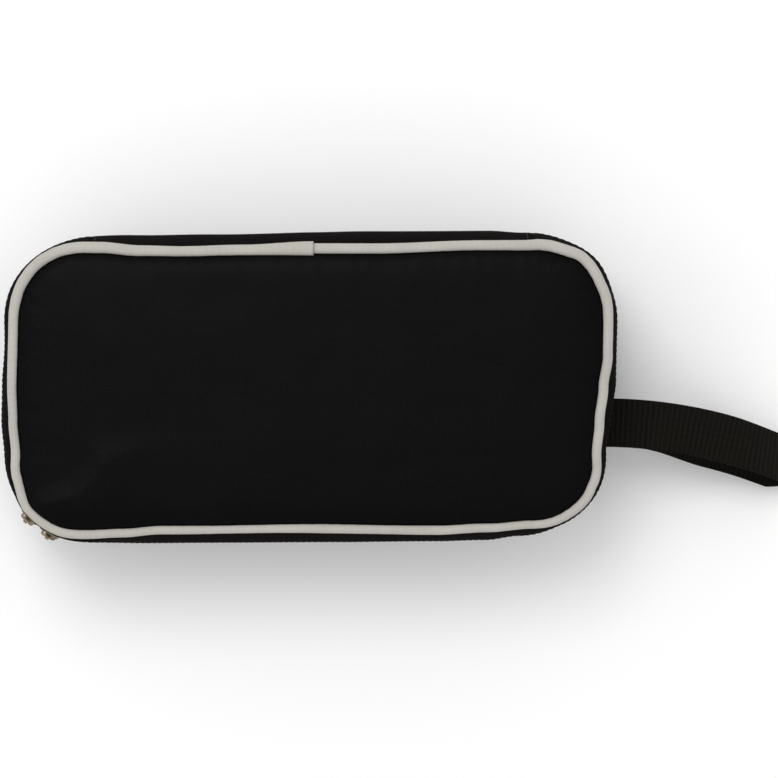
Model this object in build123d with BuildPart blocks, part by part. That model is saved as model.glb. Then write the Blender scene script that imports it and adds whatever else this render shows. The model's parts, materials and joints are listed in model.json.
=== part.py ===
from build123d import *
import math
import os

os.makedirs("parts", exist_ok=True)

# A zipped clamshell shoe bag lying on its back. Millimetres. +X runs along the bag, +Y points to
# the cloth hinge, +Z is up, and the origin is the middle of the face that it lies on.

# Outline, taken along the piping's centre line, and height over both outer faces
rim_length = 354.0
rim_width = 168.0
rim_corner = 44.0
bag_height = 116.0
gusset_bulge = 11.0

# Cloth and stiffening, by thickness
fabric = 1.6
lining = 0.6
board = 1.5
foam = 4.0
sewn_gap = 0.2
inlay_inset = 5.0

# Piping: a cord in a folded cover whose flange is sewn into the rim seam
piping_radius = 3.1
piping_skin = 1.0
cord_clearance = 0.1
floor_clearance = 0.3
flange_length = 9.0
flange_thickness = 0.8
binding_width = 5.0
binding_thickness = 0.5

# Zip: two tapes with a coil each, which meet half way up the gusset
chain_gap = 1.0
coil_width = 3.2
coil_thickness = 1.6
tape_width = 17.0
tape_thickness = 0.7
tape_edge = 0.7
tape_showing = 8.5
lining_to_zip = 7.5
stop_length = 3.0
stop_turn = 5.0

# Cloth hinge between the two halves of the back gusset
hinge_gap = 0.3

# Sliders: each rides on the front left corner, at a bearing seen from the corner's centre
slider_bearings = {"left": 224.5, "front": 240.5}
slider_length = 13.0
slider_width = 10.0
slider_tail_width = 7.6
slider_corner = 1.8
outer_plate = 1.3
inner_plate = 1.0
plate_clearance = 0.5
post_length = 3.0
post_thickness = 0.5
bridge_length = 9.6
bridge_width = 1.6
bridge_bar = 1.4
bridge_leg = 1.5

# Pulls: each hangs from its slider's bridge
eye_clearance = 0.35
eye_wall = 0.85
eye_length = 2.4
pull_length = 27.0
pull_thickness = 1.6
pull_top_width = 5.0
pull_end_width = 9.0
pull_slot_length = 6.0
pull_slot_width = 3.0

# Wrist strap: one length of webbing, doubled, sewn into the seam under the zip's right end
webbing_width = 30.0
webbing_thickness = 1.3
strap_y = -21.8
strap_heading = -11.8
strap_reach = 99.5
anchor_reach = 5.5
strap_nose = 8.5
strap_droop = 2.0
strap_gap = 1.7
strap_floor_gap = 0.25

middle = bag_height / 2
corner_x = rim_length / 2 - rim_corner
corner_y = rim_width / 2 - rim_corner
piping_height = piping_radius + floor_clearance
wall_start = piping_height + piping_radius + sewn_gap
wall_half_height = middle - wall_start
bow_radius = (wall_half_height**2 + gusset_bulge**2) / (2 * gusset_bulge)
tape_depth = fabric + sewn_gap
lining_depth = tape_depth + tape_thickness + sewn_gap
flange_start = piping_radius - piping_skin / 2
flange_end = flange_start + flange_length
side_sign = {"base": 1, "lid": -1}


def level(side, height):
    """World height of a point that is this far inside one half's outer face."""
    return middle - side_sign[side] * (middle - height)


def bow(depth, height):
    """How far outside the rim line the gusset is, at a depth below its face."""
    across = math.sqrt((bow_radius - depth) ** 2 - (height - middle) ** 2)
    return gusset_bulge - bow_radius + across


def zip_route(trim):
    """The way round the two ends and the front, starting and ending trim degrees into a back corner."""
    with BuildLine() as route:
        CenterArc((-corner_x, corner_y), rim_corner, 90 + trim, 90 - trim)
        Line((-rim_length / 2, corner_y), (-rim_length / 2, -corner_y))
        CenterArc((-corner_x, -corner_y), rim_corner, 180, 90)
        Line((-corner_x, -rim_width / 2), (corner_x, -rim_width / 2))
        CenterArc((corner_x, -corner_y), rim_corner, 270, 90)
        Line((rim_length / 2, -corner_y), (rim_length / 2, corner_y))
        CenterArc((corner_x, corner_y), rim_corner, 0, 90 - trim)
    return route.wire()


def rim_route():
    """The whole rim line, starting at the middle of the hinge side."""
    with BuildLine() as route:
        Line((0, rim_width / 2), (-corner_x, rim_width / 2))
        add(zip_route(0))
        Line((corner_x, rim_width / 2), (0, rim_width / 2))
    return route.wire()


def corner_plane(bearing, centre_x, centre_y, height=0):
    """Local x points out of a corner's centre at a bearing, and local z points up."""
    angle = math.radians(bearing)
    outward = (math.cos(angle), math.sin(angle), 0)
    return Plane(origin=(centre_x, centre_y, height), x_dir=outward, z_dir=(0, 0, 1))


def section_plane(trim):
    """The upright plane across the wall where a zip route starts; local x is outwards, local y is up."""
    angle = math.radians(90 + trim)
    outward = Vector(math.cos(angle), math.sin(angle), 0)
    start = Vector(-corner_x, corner_y, 0) + outward * rim_corner
    return Plane(origin=start, x_dir=outward, z_dir=outward.cross(Vector(0, 0, 1)))


def back_plane(x):
    """The same upright plane at a place on the straight hinge side."""
    return Plane(origin=(x, rim_width / 2, 0), x_dir=(0, 1, 0), z_dir=(1, 0, 0))


def wall_section(plane, side, depth, thickness, low, high):
    """The section of one layer of the bowed wall, between two heights of its own half."""
    bottom = level(side, low)
    top = level(side, high)
    halfway = (bottom + top) / 2
    inner = depth + thickness
    with BuildSketch(plane) as section:
        with BuildLine():
            face = ThreePointArc(
                (bow(depth, bottom), bottom), (bow(depth, halfway), halfway), (bow(depth, top), top)
            )
            back = ThreePointArc(
                (bow(inner, top), top), (bow(inner, halfway), halfway), (bow(inner, bottom), bottom)
            )
            Line(face @ 1, back @ 0)
            Line(back @ 1, face @ 0)
        make_face()
    return section.sketch


def rim_outline(side, inset, low, thickness):
    """The rim's rounded outline, drawn in by an inset, at the lower face of a flat sheet."""
    start = min(level(side, low), level(side, low + thickness))
    with BuildSketch(Plane.XY.offset(start)) as outline:
        RectangleRounded(rim_length - 2 * inset, rim_width - 2 * inset, rim_corner - inset)
    return outline.sketch


def seam_place(side, along, lift):
    """A place in the rim seam's slanted plane, along it from the piping's centre and lifted off it."""
    slant = 180 - side_sign[side] * 45
    return Location((0, level(side, piping_height)), slant) * Location((along, lift))


for side in ("base", "lid"):
    stiffener = {"base": board, "lid": foam}[side]
    stiffener_name = {"base": "base_board", "lid": "lid_foam"}[side]

    with BuildPart() as panel:
        extrude(rim_outline(side, piping_radius + sewn_gap, 0, fabric), amount=fabric)
    panel.part.label = f"{side}_panel"
    export_step(panel.part, f"parts/{side}_panel.step")

    with BuildPart() as inlay:
        extrude(rim_outline(side, inlay_inset, fabric + sewn_gap, stiffener), amount=stiffener)
    inlay.part.label = stiffener_name
    export_step(inlay.part, f"parts/{stiffener_name}.step")

    with BuildPart() as panel_lining:
        lining_low = fabric + stiffener + 2 * sewn_gap
        extrude(rim_outline(side, inlay_inset, lining_low, lining), amount=lining)
    panel_lining.part.label = f"{side}_lining"
    export_step(panel_lining.part, f"parts/{side}_lining.step")

    with BuildPart() as gusset:
        wall = wall_section(section_plane(0), side, 0, fabric, wall_start, middle - tape_showing)
        sweep(wall, path=zip_route(0))
    gusset.part.label = f"{side}_gusset"
    export_step(gusset.part, f"parts/{side}_gusset.step")

    with BuildPart() as hinge_gusset:
        wall = wall_section(back_plane(-corner_x), side, 0, fabric, wall_start, middle - hinge_gap / 2)
        extrude(wall, amount=2 * corner_x, dir=(1, 0, 0))
    hinge_gusset.part.label = f"{side}_hinge_gusset"
    export_step(hinge_gusset.part, f"parts/{side}_hinge_gusset.step")

    lining_start = piping_height + flange_length
    with BuildPart() as gusset_lining:
        wall = wall_section(back_plane(0), side, lining_depth, lining, lining_start, middle - lining_to_zip)
        sweep(wall, path=rim_route())
    gusset_lining.part.label = f"{side}_gusset_lining"
    export_step(gusset_lining.part, f"parts/{side}_gusset_lining.step")

    with BuildPart() as piping_cover:
        with BuildSketch(back_plane(0)) as cover_section:
            with Locations((0, level(side, piping_height))):
                Circle(piping_radius)
            with Locations(seam_place(side, flange_start + flange_length / 2, 0)):
                Rectangle(flange_length, flange_thickness)
            with Locations((0, level(side, piping_height))):
                Circle(piping_radius - piping_skin, mode=Mode.SUBTRACT)
        sweep(cover_section.sketch, path=rim_route())
    piping_cover.part.label = f"{side}_piping_cover"
    export_step(piping_cover.part, f"parts/{side}_piping_cover.step")

    with BuildPart() as piping_cord:
        with BuildSketch(back_plane(0)) as cord_section:
            with Locations((0, level(side, piping_height))):
                Circle(piping_radius - piping_skin - cord_clearance)
        sweep(cord_section.sketch, path=rim_route())
    piping_cord.part.label = f"{side}_piping_cord"
    export_step(piping_cord.part, f"parts/{side}_piping_cord.step")

    binding_hollow = flange_thickness + 2 * cord_clearance
    binding_middle = flange_end + cord_clearance + binding_thickness - binding_width / 2
    with BuildPart() as seam_binding:
        with BuildSketch(back_plane(0)) as binding_section:
            with Locations(seam_place(side, binding_middle, 0)):
                Rectangle(binding_width, binding_hollow + 2 * binding_thickness)
            with Locations(seam_place(side, binding_middle - binding_thickness, 0)):
                Rectangle(binding_width, binding_hollow, mode=Mode.SUBTRACT)
        sweep(binding_section.sketch, path=rim_route())
    seam_binding.part.label = f"{side}_seam_binding"
    export_step(seam_binding.part, f"parts/{side}_seam_binding.step")

    with BuildPart() as zip_tape:
        tape_low = middle - tape_width
        tape_high = middle - tape_edge
        wall = wall_section(section_plane(0), side, tape_depth, tape_thickness, tape_low, tape_high)
        sweep(wall, path=zip_route(0))
    zip_tape.part.label = f"{side}_zip_tape"
    export_step(zip_tape.part, f"parts/{side}_zip_tape.step")

    coil_high = middle - chain_gap / 2
    coil_low = coil_high - coil_width
    coil_depth = tape_depth - cord_clearance - coil_thickness
    with BuildPart() as zip_coil:
        coil_plane = section_plane(2 * stop_turn)
        wall = wall_section(coil_plane, side, coil_depth, coil_thickness, coil_low, coil_high)
        sweep(wall, path=zip_route(2 * stop_turn))
    zip_coil.part.label = f"{side}_zip_coil"
    export_step(zip_coil.part, f"parts/{side}_zip_coil.step")

    stop_radius = rim_corner + gusset_bulge - coil_depth - coil_thickness / 2
    stop_height = level(side, coil_low + coil_width / 2)
    stop_bearings = ((90 + stop_turn, -corner_x), (90 - stop_turn, corner_x))
    with BuildPart() as zip_stops:
        for bearing, centre_x in stop_bearings:
            seat = corner_plane(bearing, centre_x, corner_y, stop_height)
            with Locations(seat * Location((stop_radius, 0, 0))):
                Box(coil_thickness, stop_length, coil_width)
    zip_stops.part.label = f"{side}_zip_stops"
    export_step(zip_stops.part, f"parts/{side}_zip_stops.step")

# Sliders and pulls, each drawn from the corner's centre: local x outwards, local y along the zip
zip_face = rim_corner + gusset_bulge
plate_inside = zip_face - coil_depth + plate_clearance
plate_outside = plate_inside + outer_plate
lower_plate = zip_face - tape_depth - tape_thickness - plate_clearance - inner_plate
lower_plate -= zip_face - math.sqrt(zip_face**2 - (slider_length / 2) ** 2)
eye_radius = bridge_bar / 2 + eye_clearance + eye_wall
bar_place = plate_outside + eye_clearance + eye_radius

for name, bearing in slider_bearings.items():
    seat = corner_plane(bearing, -corner_x, -corner_y, middle)
    face_plane = Plane(origin=seat.origin, x_dir=seat.y_dir, z_dir=seat.x_dir)

    with BuildPart() as slider:
        with BuildSketch(face_plane.offset(lower_plate)) as plate:
            with BuildLine():
                Polyline(
                    (-slider_length / 2, -slider_tail_width / 2),
                    (slider_length / 2, -slider_width / 2),
                    (slider_length / 2, slider_width / 2),
                    (-slider_length / 2, slider_tail_width / 2),
                    close=True,
                )
            make_face()
            fillet(plate.vertices(), slider_corner)
        extrude(plate.sketch, amount=inner_plate)
        with BuildSketch(face_plane.offset(plate_inside)) as upper_plate:
            add(plate.sketch_local)
        extrude(upper_plate.sketch, amount=outer_plate)
        rim_edges = slider.faces().sort_by(Axis(seat.origin, seat.x_dir))[-1].edges()
        chamfer(rim_edges, outer_plate / 4)
        with BuildSketch(face_plane.offset(lower_plate)) as post:
            with Locations((slider_length / 2 - post_length / 2 - slider_corner, 0)):
                Rectangle(post_length, post_thickness)
        extrude(post.sketch, amount=plate_outside - lower_plate)
        with BuildSketch(seat.offset(-bridge_width / 2)) as bridge:
            bridge_top = bar_place + bridge_bar / 2
            with Locations(((plate_outside - outer_plate / 2 + bridge_top) / 2, 0)):
                Rectangle(bridge_top - plate_outside + outer_plate / 2, bridge_length)
            fillet(bridge.vertices().group_by(Axis.X)[-1], bridge_leg)
            with Locations(((plate_outside + bar_place - bridge_bar / 2) / 2, 0)):
                opening = bar_place - bridge_bar / 2 - plate_outside
                Rectangle(opening, bridge_length - 2 * bridge_leg, mode=Mode.SUBTRACT)
        extrude(bridge.sketch, amount=bridge_width)
    slider.part.label = f"{name}_slider"
    export_step(slider.part, f"parts/{name}_slider.step")

    hang = Plane(origin=seat.origin + seat.x_dir * bar_place, x_dir=seat.y_dir, z_dir=seat.x_dir)
    bar_end = Plane(origin=hang.origin - seat.y_dir * eye_length / 2, x_dir=seat.x_dir, z_dir=seat.y_dir)
    with BuildPart() as pull:
        with BuildSketch(hang.offset(-pull_thickness / 2)) as tab:
            with BuildLine():
                neck_end = -eye_radius - eye_wall
                Polyline(
                    (-eye_length / 2, 0),
                    (-eye_length / 2, neck_end),
                    (-pull_top_width / 2, neck_end - eye_wall),
                    (-pull_end_width / 2, -pull_length),
                    (pull_end_width / 2, -pull_length),
                    (pull_top_width / 2, neck_end - eye_wall),
                    (eye_length / 2, neck_end),
                    (eye_length / 2, 0),
                    close=True,
                )
            make_face()
            fillet(tab.vertices().group_by(Axis.Y)[0], pull_slot_width / 2)
            with Locations((0, -pull_length + pull_slot_length)):
                SlotOverall(pull_slot_length, pull_slot_width, mode=Mode.SUBTRACT)
        extrude(tab.sketch, amount=pull_thickness)
        with BuildSketch(bar_end) as eye:
            Circle(eye_radius)
        extrude(eye.sketch, amount=eye_length)
        with BuildSketch(bar_end) as eye_hole:
            Circle(eye_radius - eye_wall)
        extrude(eye_hole.sketch, amount=eye_length, mode=Mode.SUBTRACT)
    pull.part.label = f"{name}_pull"
    export_step(pull.part, f"parts/{name}_pull.step")

# Wrist strap: its sewn ends stick out of the seam as one stub, and the loop swings at the stub's edge
heading = math.radians(strap_heading)
forward = Vector(math.cos(heading), math.sin(heading), 0)
across = Vector(0, 0, 1).cross(forward)
seam_height = middle - tape_showing + sewn_gap
anchor_thickness = 2 * webbing_thickness + sewn_gap
anchor_start = rim_length / 2 + bow(tape_depth, seam_height) + sewn_gap
anchor_end = Vector(rim_length / 2 + gusset_bulge + anchor_reach, strap_y, 0)
near_edge = anchor_end - across * (webbing_width / 2)
far_edge = anchor_end + across * (webbing_width / 2)

with BuildPart() as strap_anchor:
    with BuildSketch(Plane.XY.offset(seam_height)) as stub:
        with BuildLine():
            Polyline(
                (anchor_start, near_edge.Y),
                (near_edge.X, near_edge.Y),
                (far_edge.X, far_edge.Y),
                (anchor_start, far_edge.Y),
                close=True,
            )
        make_face()
    extrude(stub.sketch, amount=anchor_thickness)
strap_anchor.part.label = "strap_anchor"
export_step(strap_anchor.part, "parts/strap_anchor.step")

strap_plane = Plane(origin=anchor_end, x_dir=forward, z_dir=forward.cross(Vector(0, 0, 1)))
upper_start = seam_height + anchor_thickness - webbing_thickness / 2
lower_start = seam_height + webbing_thickness / 2
floor_line = strap_floor_gap + webbing_thickness / 2
with BuildPart() as wrist_strap:
    with BuildLine(strap_plane) as strap_line:
        upper = Bezier(
            (strap_gap, upper_start),
            (strap_reach * 0.5, upper_start - strap_droop),
            (strap_reach, strap_nose * 4),
            (strap_reach, floor_line + strap_nose),
        )
        nose = JernArc(upper @ 1, (0, -1), strap_nose, -90)
        Bezier(
            nose @ 1,
            (strap_reach * 0.5, floor_line),
            (strap_reach * 0.25, lower_start / 2),
            (strap_reach * 0.12, lower_start),
            (strap_gap, lower_start),
        )
    with BuildSketch(Plane(origin=upper @ 0, x_dir=across, z_dir=forward)) as webbing:
        Rectangle(webbing_width, webbing_thickness)
    sweep(webbing.sketch, path=strap_line.wire())
wrist_strap.part.label = "wrist_strap"
export_step(wrist_strap.part, "parts/wrist_strap.step")
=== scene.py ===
import json
import math

import bmesh
import bpy
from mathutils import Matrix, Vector, noise

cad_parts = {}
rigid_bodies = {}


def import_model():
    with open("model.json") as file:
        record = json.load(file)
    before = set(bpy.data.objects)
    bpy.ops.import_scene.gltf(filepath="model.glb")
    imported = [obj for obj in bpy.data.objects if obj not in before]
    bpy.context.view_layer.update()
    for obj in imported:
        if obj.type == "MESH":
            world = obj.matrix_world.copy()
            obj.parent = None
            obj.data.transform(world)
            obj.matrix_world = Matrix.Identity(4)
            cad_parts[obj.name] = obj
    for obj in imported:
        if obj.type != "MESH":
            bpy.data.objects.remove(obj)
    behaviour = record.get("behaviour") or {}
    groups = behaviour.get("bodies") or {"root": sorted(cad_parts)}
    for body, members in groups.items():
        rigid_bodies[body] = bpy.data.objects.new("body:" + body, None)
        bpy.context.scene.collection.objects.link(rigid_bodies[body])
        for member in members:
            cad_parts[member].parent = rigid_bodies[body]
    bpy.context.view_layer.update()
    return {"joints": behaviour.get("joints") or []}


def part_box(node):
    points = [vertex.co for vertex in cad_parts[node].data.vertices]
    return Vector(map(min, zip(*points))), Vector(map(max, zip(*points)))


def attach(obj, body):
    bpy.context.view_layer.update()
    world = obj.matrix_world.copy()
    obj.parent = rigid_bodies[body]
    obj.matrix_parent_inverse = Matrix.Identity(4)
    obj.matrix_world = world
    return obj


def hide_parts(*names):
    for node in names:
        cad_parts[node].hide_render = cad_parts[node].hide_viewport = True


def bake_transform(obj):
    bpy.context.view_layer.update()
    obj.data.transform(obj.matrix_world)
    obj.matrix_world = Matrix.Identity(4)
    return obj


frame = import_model()
MM = 0.001

# ---- Sizes, in metres: the outline comes from the frame, the cloth's own sizes are set here ----

rim_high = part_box("lid_piping_cover")[1]
wall_box_low, wall_box_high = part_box("base_gusset")
piping_radius = 3.1 * MM
rim_x = rim_high[0] - piping_radius
rim_y = rim_high[1] - piping_radius
rim_corner = 44 * MM
corner_x = rim_x - rim_corner
corner_y = rim_y - rim_corner
bag_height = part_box("lid_panel")[1][2]
middle = bag_height / 2
lid_piping_height = rim_high[2] - piping_radius
base_piping_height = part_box("base_piping_cover")[0][2] + piping_radius
belly = wall_box_high[1] - rim_y
wall_low = wall_box_low[2]
zip_edge = wall_box_high[2]
cloth_thickness = 1.6 * MM
seam_turn = 1.2 * MM  # how far the wall's cloth runs on into the rim seam
pucker_reach = 14 * MM  # how far up the wall that seam puckers it
shoulder_height = 97 * MM  # where the cloth puffs out most under the lid's piping
shoulder_spread = 9 * MM
crease_rise = 2.4 * MM
piping_width = 6.5 * MM  # the cover bellies out a little beyond its drawn round
cord_radius = 1.9 * MM
webbing_width = 30 * MM
webbing_thickness = 1.3 * MM
stitch_length = 2.6 * MM
stitch_gap = 0.9 * MM
stitch_width = 0.45 * MM

side_x = 2 * corner_x
side_y = 2 * corner_y
quarter = math.pi / 2 * rim_corner
lap = 2 * side_x + 2 * side_y + 4 * quarter
zip_start = corner_x
zip_end = lap - corner_x
zip_trim = quarter / 9  # the tape's bare ends, where the stops are crimped

# Each table below runs round the rim from the hinge's middle, leftwards: (place, value), in mm.
# How far the soft rim and the belly stand out of their drawn outline
RIM_EASE = (
    (0, -1.3), (42, -2.2), (77, -3.0), (101, -2.5), (125, -0.4), (167, 0.9), (202, -0.3),
    (242, 0.4), (262, -0.3), (282, -1.9), (296, -0.4), (317, 3.6), (335, 4.2), (351, 3.1),
    (372, 2.1), (395, 0.3), (470, -0.6), (560, 0.5), (590, -1.0), (617, -3.1), (652, -3.4),
    (670, -4.9), (686, -6.7), (706, -4.9), (726, -2.5), (745, 0.1), (766, 0.5), (785, 1.5),
    (806, 3.6), (820, 1.8), (845, 0.6), (867, 0.5), (930, -1.4),
)
BELLY_EASE = (
    (0, 0.6), (60, -1.0), (110, -1.5), (145, -2.6), (190, 0.2), (215, -0.2), (242, 1.4),
    (262, 1.8), (285, 0.0), (351, 0.0), (385, 0.4), (420, 0.2), (500, -0.2), (560, -0.8),
    (590, -1.5), (610, -4.0), (635, -6.9), (660, -7.0), (690, -8.2), (706, -5.5), (731, -2.0),
    (780, -1.1), (800, 1.1), (820, -0.4), (840, -0.1), (860, 1.1), (900, 0.7), (940, 1.0),
)
# How far the gusset puffs out just under the lid's piping
LID_SHOULDER = ((0, 0), (250, 0), (292, 1.6), (318, 2.2), (345, 2.3), (375, 0), (600, 0))
# How wide the piping shows
PIPING_WIDTHS = (
    (0, 6.2), (80, 6.2), (130, 6.9), (180, 6.5), (210, 5.8), (260, 5.5), (340, 5.8), (390, 5.1),
    (440, 4.8), (500, 5.4), (560, 5.4), (620, 4.9), (660, 5.7), (740, 5.9), (820, 6.7), (860, 6.0),
    (940, 6.1),
)
# Where the rim turns a corner: 1 on the bends, 0 on the straights
CORNER_BENDS = (
    (0, 0), (133, 0), (150, 1), (190, 1), (202, 0), (282, 0), (300, 1), (335, 1), (351, 0),
    (617, 0), (635, 1), (670, 1), (686, 0), (766, 0), (785, 1), (820, 1), (836, 0),
)
# The crest of the crease in the lid's padded panel, in millimetres from the bag's middle
CREASE_LINE = (
    (-170, -68.5), (-158, -68), (-149, -65.5), (-138, -62), (-128, -54),
    (-121, -45), (-112, -42), (-92, -38), (-66, -35),
)


def smooth(x):
    x = min(max(x, 0.0), 1.0)
    return x * x * (3 - 2 * x)


def mix(a, b, t):
    return a + (b - a) * t


def joint_place(name):
    return Vector([joint for joint in frame["joints"] if joint["name"] == name][0]["pos_m"])


def eased(stations, along):
    """The value at a place round the rim, run smoothly from one station to the next."""
    place = (along / MM) % (lap / MM)
    ring = list(stations) + [(lap / MM + stations[0][0], stations[0][1])]
    for (a, low), (b, high) in zip(ring, ring[1:]):
        if place <= b:
            return mix(low, high, smooth((place - a) / (b - a))) * MM
    return ring[-1][1] * MM


def around(along):
    """The rim's point and outward direction at a distance round it from the hinge's middle."""
    along = along % lap
    runs = (
        (corner_x, (0, rim_y), (-1, 0)),
        (quarter, (-corner_x, corner_y), 90),
        (side_y, (-rim_x, corner_y), (0, -1)),
        (quarter, (-corner_x, -corner_y), 180),
        (side_x, (-corner_x, -rim_y), (1, 0)),
        (quarter, (corner_x, -corner_y), 270),
        (side_y, (rim_x, -corner_y), (0, 1)),
        (quarter, (corner_x, corner_y), 0),
        (corner_x + MM, (corner_x, rim_y), (-1, 0)),
    )
    for length, start, way in runs:
        if along <= length:
            break
        along -= length
    if isinstance(way, int):
        angle = math.radians(way) + along / rim_corner
        outward = Vector((math.cos(angle), math.sin(angle), 0))
        return Vector((start[0], start[1], 0)) + outward * rim_corner, outward
    point = Vector((start[0] + way[0] * along, start[1] + way[1] * along, 0))
    return point, Vector((way[1], -way[0], 0))


def bow(height):
    """The drawn wall's bulge at a height."""
    half = middle - wall_low
    radius = (half**2 + belly**2) / (2 * belly)
    across = min(abs(height - middle), half * 1.08)  # the arc runs on a little past the seams
    return belly - radius + math.sqrt(radius**2 - across**2)


def ease(along, height):
    """The soft bag's push outwards from its drawn shape."""
    rim = eased(RIM_EASE, along)
    lid_share = smooth((height - base_piping_height) / (lid_piping_height - base_piping_height))
    ends = mix(0.6 * rim, rim, lid_share)
    bulge = max(bow(height) / belly, 0)
    off_seam = 1 - math.exp(-((bulge / 0.12) ** 2))
    near_lid = math.exp(-(((height - shoulder_height) / shoulder_spread) ** 2)) * off_seam
    shoulder = eased(LID_SHOULDER, along) * near_lid
    return mix(ends, eased(BELLY_EASE, along), bulge) + shoulder


def wall(along, height, depth=0.0):
    """A point of the bag's wall at a place round it, a height and a depth under its face."""
    point, outward = around(along)
    out = bow(height) - depth + ease(along, height)
    return point + outward * out + Vector((0, 0, height))


# ---- Materials ----

def colour(code):
    """An sRGB hex colour as linear red, green, blue and alpha."""
    parts = [int(code[i : i + 2], 16) / 255 for i in (0, 2, 4)]
    return [p / 12.92 if p <= 0.04045 else ((p + 0.055) / 1.055) ** 2.4 for p in parts] + [1]


def add_node(tree, kind, links=(), **settings):
    """One shader node with its settings; a link is (input, node, output)."""
    made = tree.nodes.new("ShaderNode" + kind)
    for name, value in settings.items():
        if name == "color_ramp":
            for element, (position, code) in zip(made.color_ramp.elements, value):
                element.position = position
                element.color = colour(code)
        elif hasattr(made, name):
            setattr(made, name, value)
        else:
            made.inputs[name.replace("_", " ")].default_value = value
    for socket, source, output in links:
        tree.links.new(source.outputs[output], made.inputs[socket])
    return made


def new_material(name, **shader):
    made = bpy.data.materials.new(name)
    made.use_nodes = True
    tree = made.node_tree
    surface = tree.nodes["Principled BSDF"]
    for socket, value in shader.items():
        surface.inputs[socket.replace("_", " ")].default_value = value
    return made, tree, surface


def wave_scale(spacing):
    """The wave texture's scale for one band in each spacing."""
    return math.pi / 10 / spacing


def finish_surface(tree, surface, ramp, bump):
    tree.links.new(ramp.outputs["Color"], surface.inputs["Base Color"])
    tree.links.new(bump.outputs["Normal"], surface.inputs["Normal"])


def woven(name, dark, light, thread, depth, roughness, sheen, gloss=0.12, on_uv=False):
    """Plain-woven cloth: warp and weft waves at the thread's spacing, with soft shade changes."""
    made, tree, surface = new_material(
        name, Roughness=roughness, Sheen_Weight=sheen, Sheen_Roughness=0.5,
        Specular_IOR_Level=gloss,
    )
    place = add_node(tree, "TexCoord")
    laid = [("Vector", place, "UV" if on_uv else "Object")]
    warp, weft = [
        add_node(
            tree, "TexWave", laid, wave_type="BANDS", bands_direction=axis, wave_profile="SIN",
            Scale=wave_scale(thread), Distortion=1.2, Detail=2.0, Detail_Scale=3.0,
        )
        for axis in ("X", "Y")
    ]
    crossing = add_node(tree, "Math", [(0, warp, "Fac"), (1, weft, "Fac")], operation="MULTIPLY")
    shade = add_node(tree, "TexNoise", laid, Scale=22.0, Detail=4.0, Roughness=0.6)
    lint = add_node(tree, "TexNoise", laid, Scale=700.0, Detail=2.0, Roughness=0.7)
    grain = add_node(
        tree, "Mix", [(2, crossing, 0), (3, lint, "Fac")], data_type="FLOAT", Factor=0.65
    )
    tone = add_node(
        tree, "Mix", [(2, grain, 0), (3, shade, "Fac")], data_type="FLOAT", Factor=0.12
    )
    ramp = add_node(tree, "ValToRGB", [("Fac", tone, 0)], color_ramp=((0.15, dark), (0.75, light)))
    relief = add_node(
        tree, "Mix", [(2, crossing, 0), (3, lint, "Fac")], data_type="FLOAT", Factor=0.2
    )
    bump = add_node(tree, "Bump", [("Height", relief, 0)], Strength=1.0, Distance=depth)
    finish_surface(tree, surface, ramp, bump)
    return made


def ribbed(name, dark, light, rib, depth, roughness, sheen, gloss=0.15):
    """Narrow woven tape with ribs across it, laid on its own UV map: U runs along the tape."""
    made, tree, surface = new_material(
        name, Roughness=roughness, Sheen_Weight=sheen, Sheen_Roughness=0.45,
        Specular_IOR_Level=gloss,
    )
    place = add_node(tree, "TexCoord")
    laid = [("Vector", place, "UV")]
    ribs = add_node(
        tree, "TexWave", laid, wave_type="BANDS", bands_direction="X", wave_profile="SIN",
        Scale=wave_scale(rib), Distortion=0.6, Detail=2.0, Detail_Scale=2.0,
    )
    yarns = add_node(
        tree, "TexWave", laid, wave_type="BANDS", bands_direction="Y", wave_profile="SIN",
        Scale=wave_scale(rib * 0.4), Distortion=1.5, Detail=1.0,
    )
    shade = add_node(tree, "TexNoise", laid, Scale=40.0, Detail=4.0, Roughness=0.6)
    weave = add_node(
        tree, "Mix", [(2, ribs, "Fac"), (3, yarns, "Fac")], data_type="FLOAT", Factor=0.25
    )
    tone = add_node(
        tree, "Mix", [(2, weave, 0), (3, shade, "Fac")], data_type="FLOAT", Factor=0.4
    )
    ramp = add_node(tree, "ValToRGB", [("Fac", tone, 0)], color_ramp=((0.2, dark), (0.7, light)))
    bump = add_node(tree, "Bump", [("Height", weave, 0)], Strength=1.0, Distance=depth)
    finish_surface(tree, surface, ramp, bump)
    return made


def cast_zinc(name):
    """Die-cast zinc with a worn gunmetal plating: dull brown-grey, paler where it is rubbed."""
    made, tree, surface = new_material(name, Metallic=1.0, Roughness=0.38)
    place = add_node(tree, "TexCoord")
    laid = [("Vector", place, "Object")]
    wear = add_node(tree, "TexNoise", laid, Scale=260.0, Detail=5.0, Roughness=0.6)
    ramp = add_node(
        tree, "ValToRGB", [("Fac", wear, "Fac")], color_ramp=((0.35, "6f6352"), (0.7, "a8987e"))
    )
    rough = add_node(tree, "MapRange", [("Value", wear, "Fac")], To_Min=0.28, To_Max=0.5)
    bump = add_node(tree, "Bump", [("Height", wear, "Fac")], Strength=0.4, Distance=0.00008)
    tree.links.new(rough.outputs[0], surface.inputs["Roughness"])
    finish_surface(tree, surface, ramp, bump)
    return made


def moulded(name, dark, light, roughness, grain):
    """Moulded or extruded plastic with a fine satin grain."""
    made, tree, surface = new_material(name, Roughness=roughness)
    place = add_node(tree, "TexCoord")
    laid = [("Vector", place, "Object")]
    specks = add_node(tree, "TexNoise", laid, Scale=1 / grain, Detail=3.0)
    ramp = add_node(
        tree, "ValToRGB", [("Fac", specks, "Fac")], color_ramp=((0.3, dark), (0.7, light))
    )
    bump = add_node(tree, "Bump", [("Height", specks, "Fac")], Strength=0.5, Distance=0.00004)
    finish_surface(tree, surface, ramp, bump)
    return made


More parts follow.
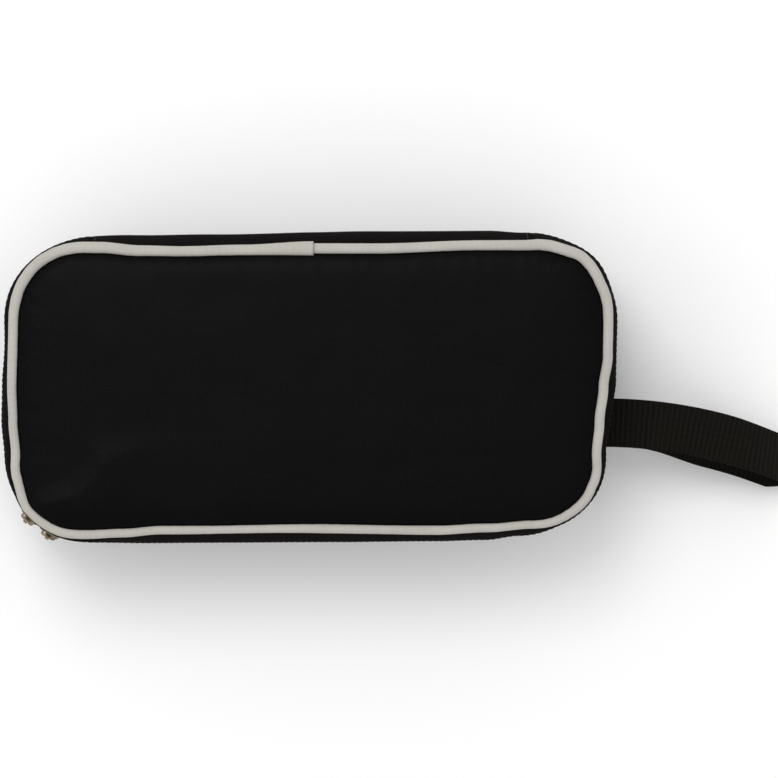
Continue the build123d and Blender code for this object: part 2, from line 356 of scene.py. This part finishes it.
# Pressed polyester plain weave: an even near-black that gleams faintly where it folds.
# Its 0.5 mm threads are drawn 1.1 mm apart, as fine as shows.
panel_cloth = woven(
    "woven_polyester_panel", "010101", "0c0c0c", 1.1 * MM, 0.08 * MM, 0.38, 0.0, 0.047
)
# The same polyester unpressed, its threads drawn as coarse: warmer, and dull from every side
gusset_cloth = woven(
    "woven_polyester_gusset", "080707", "171413", 1.1 * MM, 0.16 * MM, 0.9, 0.0, 0.01, on_uv=True
)
# Polyester taffeta: smooth dark grey with a soft shine. Its 0.2 mm threads are drawn 0.7 mm apart.
lining_cloth = woven("taffeta_lining", "26282b", "43464b", 0.7 * MM, 0.05 * MM, 0.55, 0.05, 0.4)
wall_lining_cloth = woven(
    "taffeta_wall_lining", "26282b", "43464b", 0.7 * MM, 0.05 * MM, 0.55, 0.05, 0.4, on_uv=True
)
# Cut foam sheet: matt mid grey, with its pores as a coarse even grain
foam_skin = woven("foam_sheet", "3c3d40", "5a5b5f", 2.5 * MM, 0.1 * MM, 0.9, 0.0)
# Grosgrain tape folded over the cord: matt off-white with fine ribs across it
piping_tape = ribbed("grosgrain_piping", "a3a098", "c6c3bc", 0.7 * MM, 0.12 * MM, 0.75, 0.02)
# Polyester binding: matt black with fine ribs across it
binding_tape = ribbed("seam_binding", "101011", "26262a", 1.0 * MM, 0.1 * MM, 0.8, 0.02)
# Heavy polypropylene webbing: brownish black, with bold ribs that catch the light in rows
webbing_cloth = ribbed(
    "ribbed_webbing", "0c0b09", "171511", 3.3 * MM, 0.26 * MM, 0.7, 0.005, 0.05
)
# Zip tape: a tight flat black weave
zip_cloth = ribbed("zip_tape", "08080a", "16161a", 0.8 * MM, 0.1 * MM, 0.75, 0.02)
# Twisted cotton cord: pale yarn, deep between its turns
cord_yarn = ribbed("twisted_cord", "b9b6ad", "e8e6df", 2.0 * MM, 0.3 * MM, 0.8, 0.05)
# Nylon filament: satin black, with a small highlight on each turn of the coil
coil_nylon = moulded("nylon_coil", "0a0a0b", "161618", 0.35, 1.5 * MM)
# Extruded polyethylene sheet: dark grey with a waxy half shine
board_plastic = moulded("polyethylene_board", "1d1d1f", "2b2b2e", 0.5, 2 * MM)
# Polyester sewing thread: black, a little paler than the cloth that it is sewn into
thread = moulded("polyester_thread", "0d0d0e", "19191b", 0.7, 1 * MM)
# Plated zinc castings: dull brown-grey metal, for the sliders, pulls and stops
zinc = cast_zinc("zinc_casting")


# ---- Building helpers ----

def finish_piece(name, bm, material, body):
    """Close the bmesh into an object with the given material, riding on a body when one is given.
    """
    bmesh.ops.recalc_face_normals(bm, faces=bm.faces)
    mesh = bpy.data.meshes.new(name)
    bm.to_mesh(mesh)
    bm.free()
    mesh.polygons.foreach_set("use_smooth", [True] * len(mesh.polygons))
    mesh.materials.append(material)
    made = bpy.data.objects.new(name, mesh)
    bpy.context.scene.collection.objects.link(made)
    if body:
        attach(made, body)
    return made


def cloth(along, across, place):
    """A grid carried onto place(a, b); along and across are (from, to, steps).

    Its UV map is a, b in metres.
    """
    bm = bmesh.new()
    bmesh.ops.create_grid(bm, x_segments=along[2], y_segments=across[2], size=0.5)
    uv = bm.loops.layers.uv.new("Cut")
    for face in bm.faces:
        for corner in face.loops:
            a = mix(along[0], along[1], corner.vert.co.x + 0.5)
            b = mix(across[0], across[1], corner.vert.co.y + 0.5)
            corner[uv].uv = (a, b)
    for vert in bm.verts:
        a = mix(along[0], along[1], vert.co.x + 0.5)
        b = mix(across[0], across[1], vert.co.y + 0.5)
        vert.co = place(a, b)
    bmesh.ops.remove_doubles(bm, verts=bm.verts, dist=0.01 * MM)
    return bm


def thicken(bm, thickness):
    """Give a sheet its thickness on its inner side: inner is towards the middle of the bag."""
    bmesh.ops.recalc_face_normals(bm, faces=bm.faces)
    centre = Vector((0, 0, middle))
    facing = sum(
        (face.calc_center_median() - centre).normalized().dot(face.normal) for face in bm.faces
    )
    if facing < 0:
        bmesh.ops.reverse_faces(bm, faces=bm.faces)
    bmesh.ops.solidify(bm, geom=bm.faces[:], thickness=thickness)
    return bm


def join_rings(bm, rings):
    """Skin rings of vertices into a closed rod."""
    count = len(rings[0])
    for low, high in zip(rings, rings[1:]):
        for k in range(count):
            bm.faces.new((low[k], low[(k + 1) % count], high[(k + 1) % count], high[k]))
    bm.faces.new(rings[0])
    bm.faces.new(rings[-1])


def flutter(a, b, size, seed):
    """Soft uneven cloth: a smooth random value from -1 to 1."""
    return noise.noise(Vector((a / size, b / size, seed)))


def ring_flutter(a, angle, size, turn, seed):
    """The same round a tube, where the angle's start and end have to meet."""
    start = a / size + seed * 7
    return noise.noise(Vector((start, turn * math.cos(angle), turn * math.sin(angle))))


def side_height(side, height):
    """World height of a place this far inside one half's outer face."""
    return height if side == "base" else bag_height - height


def piping_height(side):
    return base_piping_height if side == "base" else lid_piping_height


# ---- The two bag halves ----

def gusset(side):
    """The long strip of side wall round the ends and front, puckered where the rim is sewn on."""
    top = zip_edge - 0.3 * MM
    low = wall_low - seam_turn
    seed = 3.1 if side == "base" else 8.7

    def place(a, b):
        near_rim = 1 - smooth((b - low) / pucker_reach)
        pucker = near_rim * 0.9 * MM * flutter(a, b * 0.25, 7 * MM, seed)
        below_zip = smooth((top - b) / (20 * MM))
        slack = 0.8 * MM * flutter(a, b, 45 * MM, 1.3) * below_zip * (1 - near_rim)
        hem = -0.5 * MM * (1 - smooth((b - low) / (2.5 * MM)))
        return wall(a, side_height(side, b), -(pucker + slack + hem))

    bm = thicken(cloth((zip_start, zip_end, 260), (low, top, 22), place), cloth_thickness)
    made = finish_piece(f"{side}_gusset_cloth", bm, gusset_cloth, side)
    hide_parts(f"{side}_gusset")


def gusset_lining(side):
    """Lining behind the gusset and the hinge, all the way round."""
    depth = 3.0 * MM
    low = 7.6 * MM
    high = zip_edge + 0.5 * MM

    def place(a, b):
        turn = 2 * math.pi * a / lap
        slack = noise.noise(Vector((5 * math.cos(turn), 5 * math.sin(turn), b / (30 * MM))))
        return wall(a, side_height(side, b), depth + 0.4 * MM * slack)

    bm = thicken(cloth((0, lap, 320), (low, high, 12), place), 0.5 * MM)
    made = finish_piece(f"{side}_wall_lining", bm, wall_lining_cloth, side)
    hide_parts(f"{side}_gusset_lining")


def drawn_in(a):
    """How much narrower than its full width the piping shows; its outer edge stays in place."""
    return (piping_width - eased(PIPING_WIDTHS, a)) / 2


def tube(centre, radius, flat, ripple=None):
    """A place function for a tube round the rim, flattened in height, with its own small ripple."""

    def place(a, b):
        point, outward = around(a)
        angle = b / radius
        size = radius + (ripple(a, angle) if ripple else 0)
        height = max(centre + flat * size * math.sin(angle), 0.1 * MM)
        push = ease(a, centre) + drawn_in(a)
        return point + outward * (push + size * math.cos(angle)) + Vector((0, 0, height))

    return place


def piping(side):
    """The folded cover round the rim cord, gathered at the corners and lapped at the hinge."""
    centre = piping_height(side)
    join = -2 * MM
    lap_length = 45 * MM
    lap_rise = 1.2 * MM

    def ripple(a, angle):
        lapped = smooth(1 - ((a - join) % lap) / lap_length)
        bend = eased(CORNER_BENDS, a) / MM
        gather = (0.08 + 0.18 * bend) * MM * ring_flutter(a, angle, 4 * MM, 0.8, 2.2)
        uneven = 0.12 * MM * flutter(a, 0, 30 * MM, 9.1)
        return gather + uneven + lap_rise * lapped - drawn_in(a)

    girth = math.pi * piping_width
    place = tube(centre, piping_width / 2, 2 * piping_radius / piping_width, ripple)
    bm = cloth((join, join + lap - 0.02 * MM, 620), (0, girth, 20), place)
    bmesh.ops.holes_fill(bm, edges=[edge for edge in bm.edges if edge.is_boundary])
    made = finish_piece(f"{side}_piping_tape", bm, piping_tape, side)
    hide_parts(f"{side}_piping_cover")
    core = tube(centre, cord_radius, 1.0)
    bm = cloth((0, lap, 240), (0, 2 * math.pi * cord_radius, 8), core)
    filler = finish_piece(f"{side}_piping_filler", bm, cord_yarn, side)
    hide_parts(f"{side}_piping_cord")


def seam_binding(side):
    """Binding folded over the rim seam's raw edges, inside the bag, where they lean inwards."""
    centre = piping_height(side)
    inward = 1 if side == "base" else -1
    fold = 0.9 * MM
    girth = 20 * MM
    reach = 6.9 * MM
    half_width = 4.7 * MM

    def place(a, b):
        point, outward = around(a)
        turn = (b / girth) * 2 * math.pi
        along = reach + half_width * math.cos(turn)
        off = fold * math.copysign(abs(math.sin(turn)) ** 0.6, math.sin(turn))
        off += 0.25 * MM * ring_flutter(a, turn, 9 * MM, 0.7, 4.4)
        out = -(along + off) * math.sqrt(0.5) + ease(a, centre)
        rise = (along - off) * math.sqrt(0.5) * inward
        return point + outward * out + Vector((0, 0, centre + rise))

    bm = cloth((0, lap, 300), (0, girth, 12), place)
    made = finish_piece(f"{side}_binding", bm, binding_tape, side)
    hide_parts(f"{side}_seam_binding")


def into_outline(a, b, half_x, half_y, corner):
    """Carry a unit square's point into a rounded rectangle, its rows bent round the corners."""
    x = a * 2 * half_x
    y = b * 2 * half_y
    over_x = abs(x) - (half_x - corner)
    over_y = abs(y) - (half_y - corner)
    if over_x > 0 and over_y > 0:
        length = math.hypot(over_x, over_y)
        scale = max(over_x, over_y) / length
        x = math.copysign(half_x - corner + over_x * scale, x)
        y = math.copysign(half_y - corner + over_y * scale, y)
    return x, y


def edge_distance(x, y):
    """How far a point lies inside the rim line, the way out from it and its place round the rim."""
    beyond = Vector((abs(x) - corner_x, abs(y) - corner_y))
    if beyond.x > 0 and beyond.y > 0:
        inside = rim_corner - beyond.length
        way = Vector((math.copysign(beyond.x, x), math.copysign(beyond.y, y), 0)).normalized()
    elif beyond.x > beyond.y:
        inside = rim_corner - beyond.x
        way = Vector((math.copysign(1, x), 0, 0))
    else:
        inside = rim_corner - beyond.y
        way = Vector((0, math.copysign(1, y), 0))
    return inside, way, rim_place(x, y)


def rim_place(x, y):
    """The distance round the rim, from the hinge's middle, of the rim point nearest x, y."""
    cx = min(max(x, -corner_x), corner_x)
    cy = min(max(y, -corner_y), corner_y)
    if abs(x) > corner_x and abs(y) > corner_y:
        turn = math.atan2(y - cy, x - cx) % (2 * math.pi)
        quadrant = int(turn / (math.pi / 2))
        starts = (
            lap - corner_x - quarter,
            corner_x,
            corner_x + quarter + side_y,
            corner_x + 2 * quarter + side_y + side_x,
        )
        return starts[quadrant] + (turn - quadrant * math.pi / 2) * rim_corner
    if abs(y) - corner_y >= abs(x) - corner_x:
        if y > 0:
            return (-x) % lap
        return corner_x + 2 * quarter + side_y + (x + corner_x)
    if x < 0:
        return corner_x + quarter + (corner_y - y)
    return corner_x + 3 * quarter + side_y + side_x + (y + corner_y)


def crease(x, y):
    """The height of the bent crease in the lid's front left corner, with its steep side behind."""
    if x > -20 * MM or y > 0:
        return 0.0
    spot = Vector((x, y)) / MM
    nearest = None
    travelled = 0.0
    for start, end in zip(CREASE_LINE, CREASE_LINE[1:]):
        run = Vector(end) - Vector(start)
        share = min(max((spot - Vector(start)).dot(run) / run.length_squared, 0), 1)
        off = spot - Vector(start) - run * share
        if nearest is None or off.length < nearest[0].length:
            nearest = (off, run, travelled + share * run.length)
        travelled += run.length
    off, run, along = nearest
    behind = run.x * off.y - run.y * off.x > 0
    width = mix(6, 10, smooth((along - 30) / 40)) if behind else 26
    across = off.length / width
    fade = smooth((travelled - along) / 85) * (0.7 + 0.3 * smooth(along / 12))
    return crease_rise * fade * math.exp(-(across**2))


def panel_face(side, x, y, tuck=0.0):
    """The panel's outer face: drawn down into the rim seam, quick to rise, then nearly flat."""
    centre = piping_height(side)
    face = 0.0 if side == "base" else bag_height
    seed = 0.7 if side == "base" else 6.3
    inside, way, along = edge_distance(x, y)
    push = way * (ease(along, centre) + 2 * drawn_in(along))
    push *= smooth((rim_corner - inside) / rim_corner)
    inside = max(inside - piping_radius + tuck, 0)
    sunk = abs(face - centre) - 0.2 * MM
    if side == "base":
        return Vector((x, y, face + sunk * math.exp(-inside / (1.3 * MM)))) + push
    level = -sunk * math.exp(-inside / (4.5 * MM))
    pucker = flutter(along, inside * 0.3, 6 * MM, seed + 2)
    level += 0.5 * MM * math.exp(-inside / (9 * MM)) * pucker
    level += 0.8 * MM * smooth(inside / (60 * MM))
    uneven = 0.55 * MM * flutter(x, y, 60 * MM, seed)
    uneven += 0.22 * MM * flutter(x, y, 22 * MM, seed + 4)
    level += uneven * smooth(inside / (25 * MM))
    return Vector((x, y, face + level + crease(x, y))) + push


def layer(name, node, side, inset, depth, thickness, material, seed=None, tuck=0.0):
    """One layer of a padded panel, following the panel's outer face at a depth below it."""
    inward = 1 if side == "base" else -1

    def place(a, b):
        x, y = into_outline(a, b, rim_x - inset, rim_y - inset, rim_corner - inset)
        slack = 0.35 * MM * flutter(x, y, 28 * MM, seed) if seed else 0.0
        return panel_face(side, x, y, tuck) + Vector((0, 0, inward * (depth + slack)))

    bm = cloth((-0.5, 0.5, 230), (-0.5, 0.5, 110), place)
    flat = bm.loops.layers.uv[0]
    for face in bm.faces:
        for corner in face.loops:
            corner[flat].uv = corner.vert.co.xy
    thicken(bm, thickness)
    made = finish_piece(name, bm, material, side)
    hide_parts(node)
    return made


# ---- Zip and stitching ----

def zip_half(side):
    """Half of the coil zip: its woven tape and a nylon coil of turns, staggered to mesh."""
    tape_low = 41 * MM
    tape_high = middle - 0.7 * MM
    tape_depth = 1.8 * MM

    def place(a, b):
        slack = 0.12 * MM * flutter(a, b, 12 * MM, 3.3)
        return wall(a, side_height(side, b), tape_depth + slack)

    span = (zip_start + 0.5 * MM, zip_end - 0.5 * MM, 260)
    bm = thicken(cloth(span, (tape_low, tape_high, 8), place), 0.7 * MM)
    tape = finish_piece(f"{side}_zip_cloth", bm, zip_cloth, side)
    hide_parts(f"{side}_zip_tape")

    pitch = 2.0 * MM
    first = zip_start + zip_trim + 1.5 * MM
    last = zip_end - zip_trim - 1.5 * MM
    stagger = 0.5 if side == "lid" else 0
    # One turn of the coil, from its sewn foot to its head: (height, half width, half depth), in mm
    profile = (
        (54.3, 0.35, 0.4), (54.8, 0.5, 0.6), (56.6, 0.45, 0.6),
        (57.5, 0.48, 0.65), (58.2, 0.3, 0.4),
    )
    bm = bmesh.new()
    for turn in range(int((last - first) / pitch)):
        centre = first + (turn + stagger) * pitch
        rings = []
        for height, half_width, half_depth in profile:
            ring = []
            for step in range(6):
                angle = math.radians(60 * step + 30)
                a = centre + half_width * MM * math.cos(angle)
                depth = (1.05 + half_depth * math.sin(angle)) * MM
                ring.append(bm.verts.new(wall(a, side_height(side, height * MM), depth)))
            rings.append(ring)
        join_rings(bm, rings)
    coil = finish_piece(f"{side}_coil_turns", bm, coil_nylon, side)
    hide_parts(f"{side}_zip_coil")


def zip_stops(side):
    """The two metal stops crimped round this half of the zip, one at each end of its coil."""
    bm = bmesh.new()
    for centre in (zip_start + zip_trim / 2, zip_end - zip_trim / 2):
        clamp = bmesh.ops.create_cube(bm, size=1)["verts"]
        edges = {edge for vert in clamp for edge in vert.link_edges}
        rounded = bmesh.ops.bevel(
            bm, geom=list(edges), offset=0.14, segments=2, profile=0.5, affect="EDGES"
        )
        for vert in {vert for face in rounded["faces"] for vert in face.verts}:
            along = centre + 3 * MM * vert.co.x
            depth = (1.2 + 3.0 * vert.co.y) * MM
            height = (56.0 + 4.0 * vert.co.z) * MM
            vert.co = wall(along, side_height(side, height), depth)
    made = finish_piece(f"{side}_stop_clamps", bm, zinc, side)
    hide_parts(f"{side}_zip_stops")


def stitches(name, body, routes):
    """Lock stitches along routes: each is run(distance) and its whole length.

    run gives a point, its way along and its outward normal.
    """
    # One stitch, from end to end: (share of its length, lift, girth)
    profile = ((0, -0.25, 0.5), (0.2, 0.1, 1), (0.8, 0.1, 1), (1, -0.25, 0.5))
    pitch = stitch_length + stitch_gap
    bm = bmesh.new()
    for run, total in routes:
        for index in range(int(total / pitch)):
            rings = []
            for share, lift, girth in profile:
                point, along, out = run(index * pitch + share * stitch_length)
                side = along.cross(out).normalized()
                ring = []
                for step in range(4):
                    angle = math.radians(90 * step + 45)
                    off = side * math.cos(angle) + out * math.sin(angle)
                    spot = point + out * lift * stitch_width + off * girth * stitch_width / 2
                    ring.append(bm.verts.new(spot))
                rings.append(ring)
            join_rings(bm, rings)
    finish_piece(name, bm, thread, body)


def along_wall(height):
    """A stitch run round the wall at one height."""

    def run(distance):
        a = zip_start + 2 * MM + distance
        point = wall(a, height)
        return point, (wall(a + MM, height) - point).normalized(), around(a)[1]

    return run, zip_end - zip_start - 4 * MM


def up_wall(a, low, high):
    """A stitch run up the wall at one place round it."""

    def run(distance):
        height = low + distance
        point = wall(a, height)
        return point, (wall(a, height + MM) - point).normalized(), around(a)[1]

    return run, high - low


# ---- Hinge and strap ----

def hinge_cloth():
    """The back wall's unbroken strip, which the lid hangs from."""
    low = wall_low - seam_turn

    def place(a, b):
        from_rim = min(b, bag_height - b) - low
        near_rim = 1 - smooth(from_rim / pucker_reach)
        pucker = near_rim * 0.9 * MM * flutter(a, b * 0.25, 7 * MM, 5.9)
        slack = 0.5 * MM * flutter(a, b, 45 * MM, 7.3) * (1 - near_rim)
        return wall(a, b, -(pucker + slack))

    span = (-corner_x + 0.3 * MM, corner_x - 0.3 * MM, 150)
    bm = thicken(cloth(span, (low, bag_height - low, 50), place), cloth_thickness)
    made = finish_piece("hinge_cloth", bm, gusset_cloth, None)
    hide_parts("base_hinge_gusset", "lid_hinge_gusset")
    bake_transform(made)


def bezier(points, steps):
    """Points along a Bezier curve."""
    out = []
    for index in range(steps + 1):
        row = [Vector(p) for p in points]
        while len(row) > 1:
            row = [a.lerp(b, index / steps) for a, b in zip(row, row[1:])]
        out.append(row[0])
    return out


def strap_route():
    """The strap's folded loop, from one sewn end to the other.

    Each point is the distance out from its root and the height, in mm.
    """
    upper = bezier(((1.7, 51.85), (53, 49.85), (106, 34), (106, 9.4)), 60)
    nose = [
        Vector((97.5 + 8.5 * math.cos(t), 9.4 + 8.5 * math.sin(t)))
        for t in (math.radians(-6 * k) for k in range(1, 15))
    ]
    lower = bezier(((97.5, 0.9), (53, 0.9), (26, 25.2), (11.9, 50.35), (1.7, 50.35)), 60)
    ends = [Vector((-14.5 + 1.6 * k, 51.85)) for k in range(10)]
    return ends + upper + nose + lower + [Vector((p.x, 50.35)) for p in reversed(ends)]


def wrist_strap():
    """A loop of ribbed webbing, folded in half, its two ends sewn together into the wall."""
    root = joint_place("strap_swing")
    heading = Vector((1, math.tan(math.radians(-11.8)), 0)).normalized()
    fold_twist = math.radians(22)
    ring_count = 28
    route = strap_route()
    halfway = len(route) // 2
    bm = bmesh.new()
    uv = bm.loops.layers.uv.new("Cut")
    rings = []
    travelled = [0.0]
    for here, there in zip(route, route[1:]):
        travelled.append(travelled[-1] + (there - here).length * MM)
    for index, spot in enumerate(route):
        before, after = route[max(index - 1, 0)], route[min(index + 1, len(route) - 1)]
        run = (after - before).normalized()
        level = Vector((-run.y, run.x))
        centre = root + heading * spot.x * MM
        centre.z = spot.y * MM
        # The loop bends away to the front, and its lower run lies further that way than its upper
        beyond = centre.x / MM - 184
        under = smooth((index - halfway + 8) / 16)
        aside = 21.6 + 0.02 * beyond + 0.00175 * beyond**2
        aside += 5.4 * under * smooth((spot.x - 8) / 48)
        centre.y = -aside * MM
        way = Vector((1, -0.02 - 0.0036 * beyond, 0)).normalized()
        across = Vector((-way.y, way.x, 0))
        lean = (way * level.x + Vector((0, 0, level.y))).normalized()
        twist = fold_twist * smooth((spot.x - 45) / 50) * (1 - under)
        ring = []
        for step in range(ring_count):
            angle = 2 * math.pi * (step + 0.5) / ring_count
            u = math.copysign(abs(math.cos(angle)) ** 0.45, math.cos(angle)) * webbing_width / 2
            v = math.copysign(abs(math.sin(angle)) ** 0.3, math.sin(angle)) * webbing_thickness / 2
            side_on = across * math.cos(twist) - lean * math.sin(twist)
            face_on = lean * math.cos(twist) + across * math.sin(twist)
            ring.append(bm.verts.new(centre + side_on * u + face_on * v))
        rings.append(ring)
    join_rings(bm, rings)
    places = {}
    for ring, length in zip(rings, travelled):
        for step, vert in enumerate(ring):
            angle = 2 * math.pi * (step + 0.5) / ring_count
            places[vert] = (length, math.cos(angle) * webbing_width / 2)
    for face in bm.faces:
        if len(face.verts) == 4:  # the two cut ends take no pattern
            for corner in face.loops:
                corner[uv].uv = places[corner.vert]
    made = finish_piece("strap_webbing", bm, webbing_cloth, None)
    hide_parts("wrist_strap", "strap_anchor")
    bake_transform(made)


# ---- The bag ----

for side in ("base", "lid"):
    gusset(side)
    gusset_lining(side)
    piping(side)
    seam_binding(side)
    layer(
        f"{side}_panel_cloth", f"{side}_panel", side, piping_radius - 0.3 * MM, 0,
        cloth_thickness, panel_cloth,
    )
    zip_half(side)
    zip_stops(side)
    rows = [along_wall(side_height(side, height * MM)) for height in (47.6, 44.8)]
    row_low = side_height(side, 9 * MM if side == "base" else 45 * MM)
    ends = [
        up_wall(a, row_low, row_low + 36 * MM)
        for a in (corner_x - 2.5 * MM, 2.5 * MM - corner_x)
    ]
    stitches(f"{side}_topstitching", side, rows + ends)
layer(
    "base_floor_lining", "base_lining", "base", 5 * MM, 3.5 * MM,
    0.6 * MM, lining_cloth, 2.7, 4 * MM,
)
padding = layer(
    "lid_foam_sheet", "lid_foam", "lid", 5 * MM, 1.75 * MM,
    4 * MM, foam_skin, None, 4 * MM,
)
layer(
    "lid_inner_lining", "lid_lining", "lid", 5 * MM, 6.0 * MM,
    0.6 * MM, lining_cloth, 4.9, 4 * MM,
)
hinge_cloth()
wrist_strap()

# Shown CAD nodes keep their shapes and take these materials
for made in bpy.data.objects:
    if made.type != "MESH" or made.hide_render:
        continue
    if made.name.endswith(("_slider", "_pull")):
        made.data.materials.clear()
        made.data.materials.append(zinc)
    elif made.name == "base_board":
        made.data.materials.clear()
        made.data.materials.append(board_plastic)


# ---- Floor, light and camera ----

floor_mesh = bpy.data.meshes.new("floor")
floor_corners = [(-15, -15, 0), (15, -15, 0), (15, 15, 0), (-15, 15, 0)]
floor_mesh.from_pydata(floor_corners, [], [(0, 1, 2, 3)])
floor = bpy.data.objects.new("floor", floor_mesh)
# Matt white paint: takes a soft shadow and shows nothing else
floor_material, _, _ = new_material("pale_floor", Base_Color=colour("ffffff"), Roughness=0.9)
floor_mesh.materials.append(floor_material)
floor.location.z = -0.2 * MM
bpy.context.scene.collection.objects.link(floor)

world = bpy.data.worlds.new("soft_room")
world.use_nodes = True
air = world.node_tree.nodes["Background"]
air.inputs["Color"].default_value = colour("ffffff")
air.inputs["Strength"].default_value = 0.82
bpy.context.scene.world = world


def soft_light(name, place, size, power):
    """A square lamp that faces the middle of the bag."""
    lamp = bpy.data.lights.new(name, "AREA")
    lamp.shape = "SQUARE"
    lamp.size = size
    lamp.energy = power
    made = bpy.data.objects.new(name, lamp)
    made.location = place
    aim = Vector((0, 0, 0.05)) - Vector(place)
    made.rotation_euler = aim.to_track_quat("-Z", "Y").to_euler()
    bpy.context.scene.collection.objects.link(made)


soft_light("overhead", (-0.4, 0.9, 2.3), 1.0, 17)
soft_light("left_fill", (-1.4, -0.2, 1.3), 1.2, 2)

lens = bpy.data.cameras.new("overhead_camera")
lens.sensor_width = 36
lens.lens = 155.5
camera = bpy.data.objects.new("overhead_camera", lens)
camera.location = (0.047, -0.0009, bag_height + 2.0)  # straight above, 2 m over the lid
bpy.context.scene.collection.objects.link(camera)
bpy.context.scene.camera = camera
bpy.context.scene.view_settings.view_transform = "Standard"
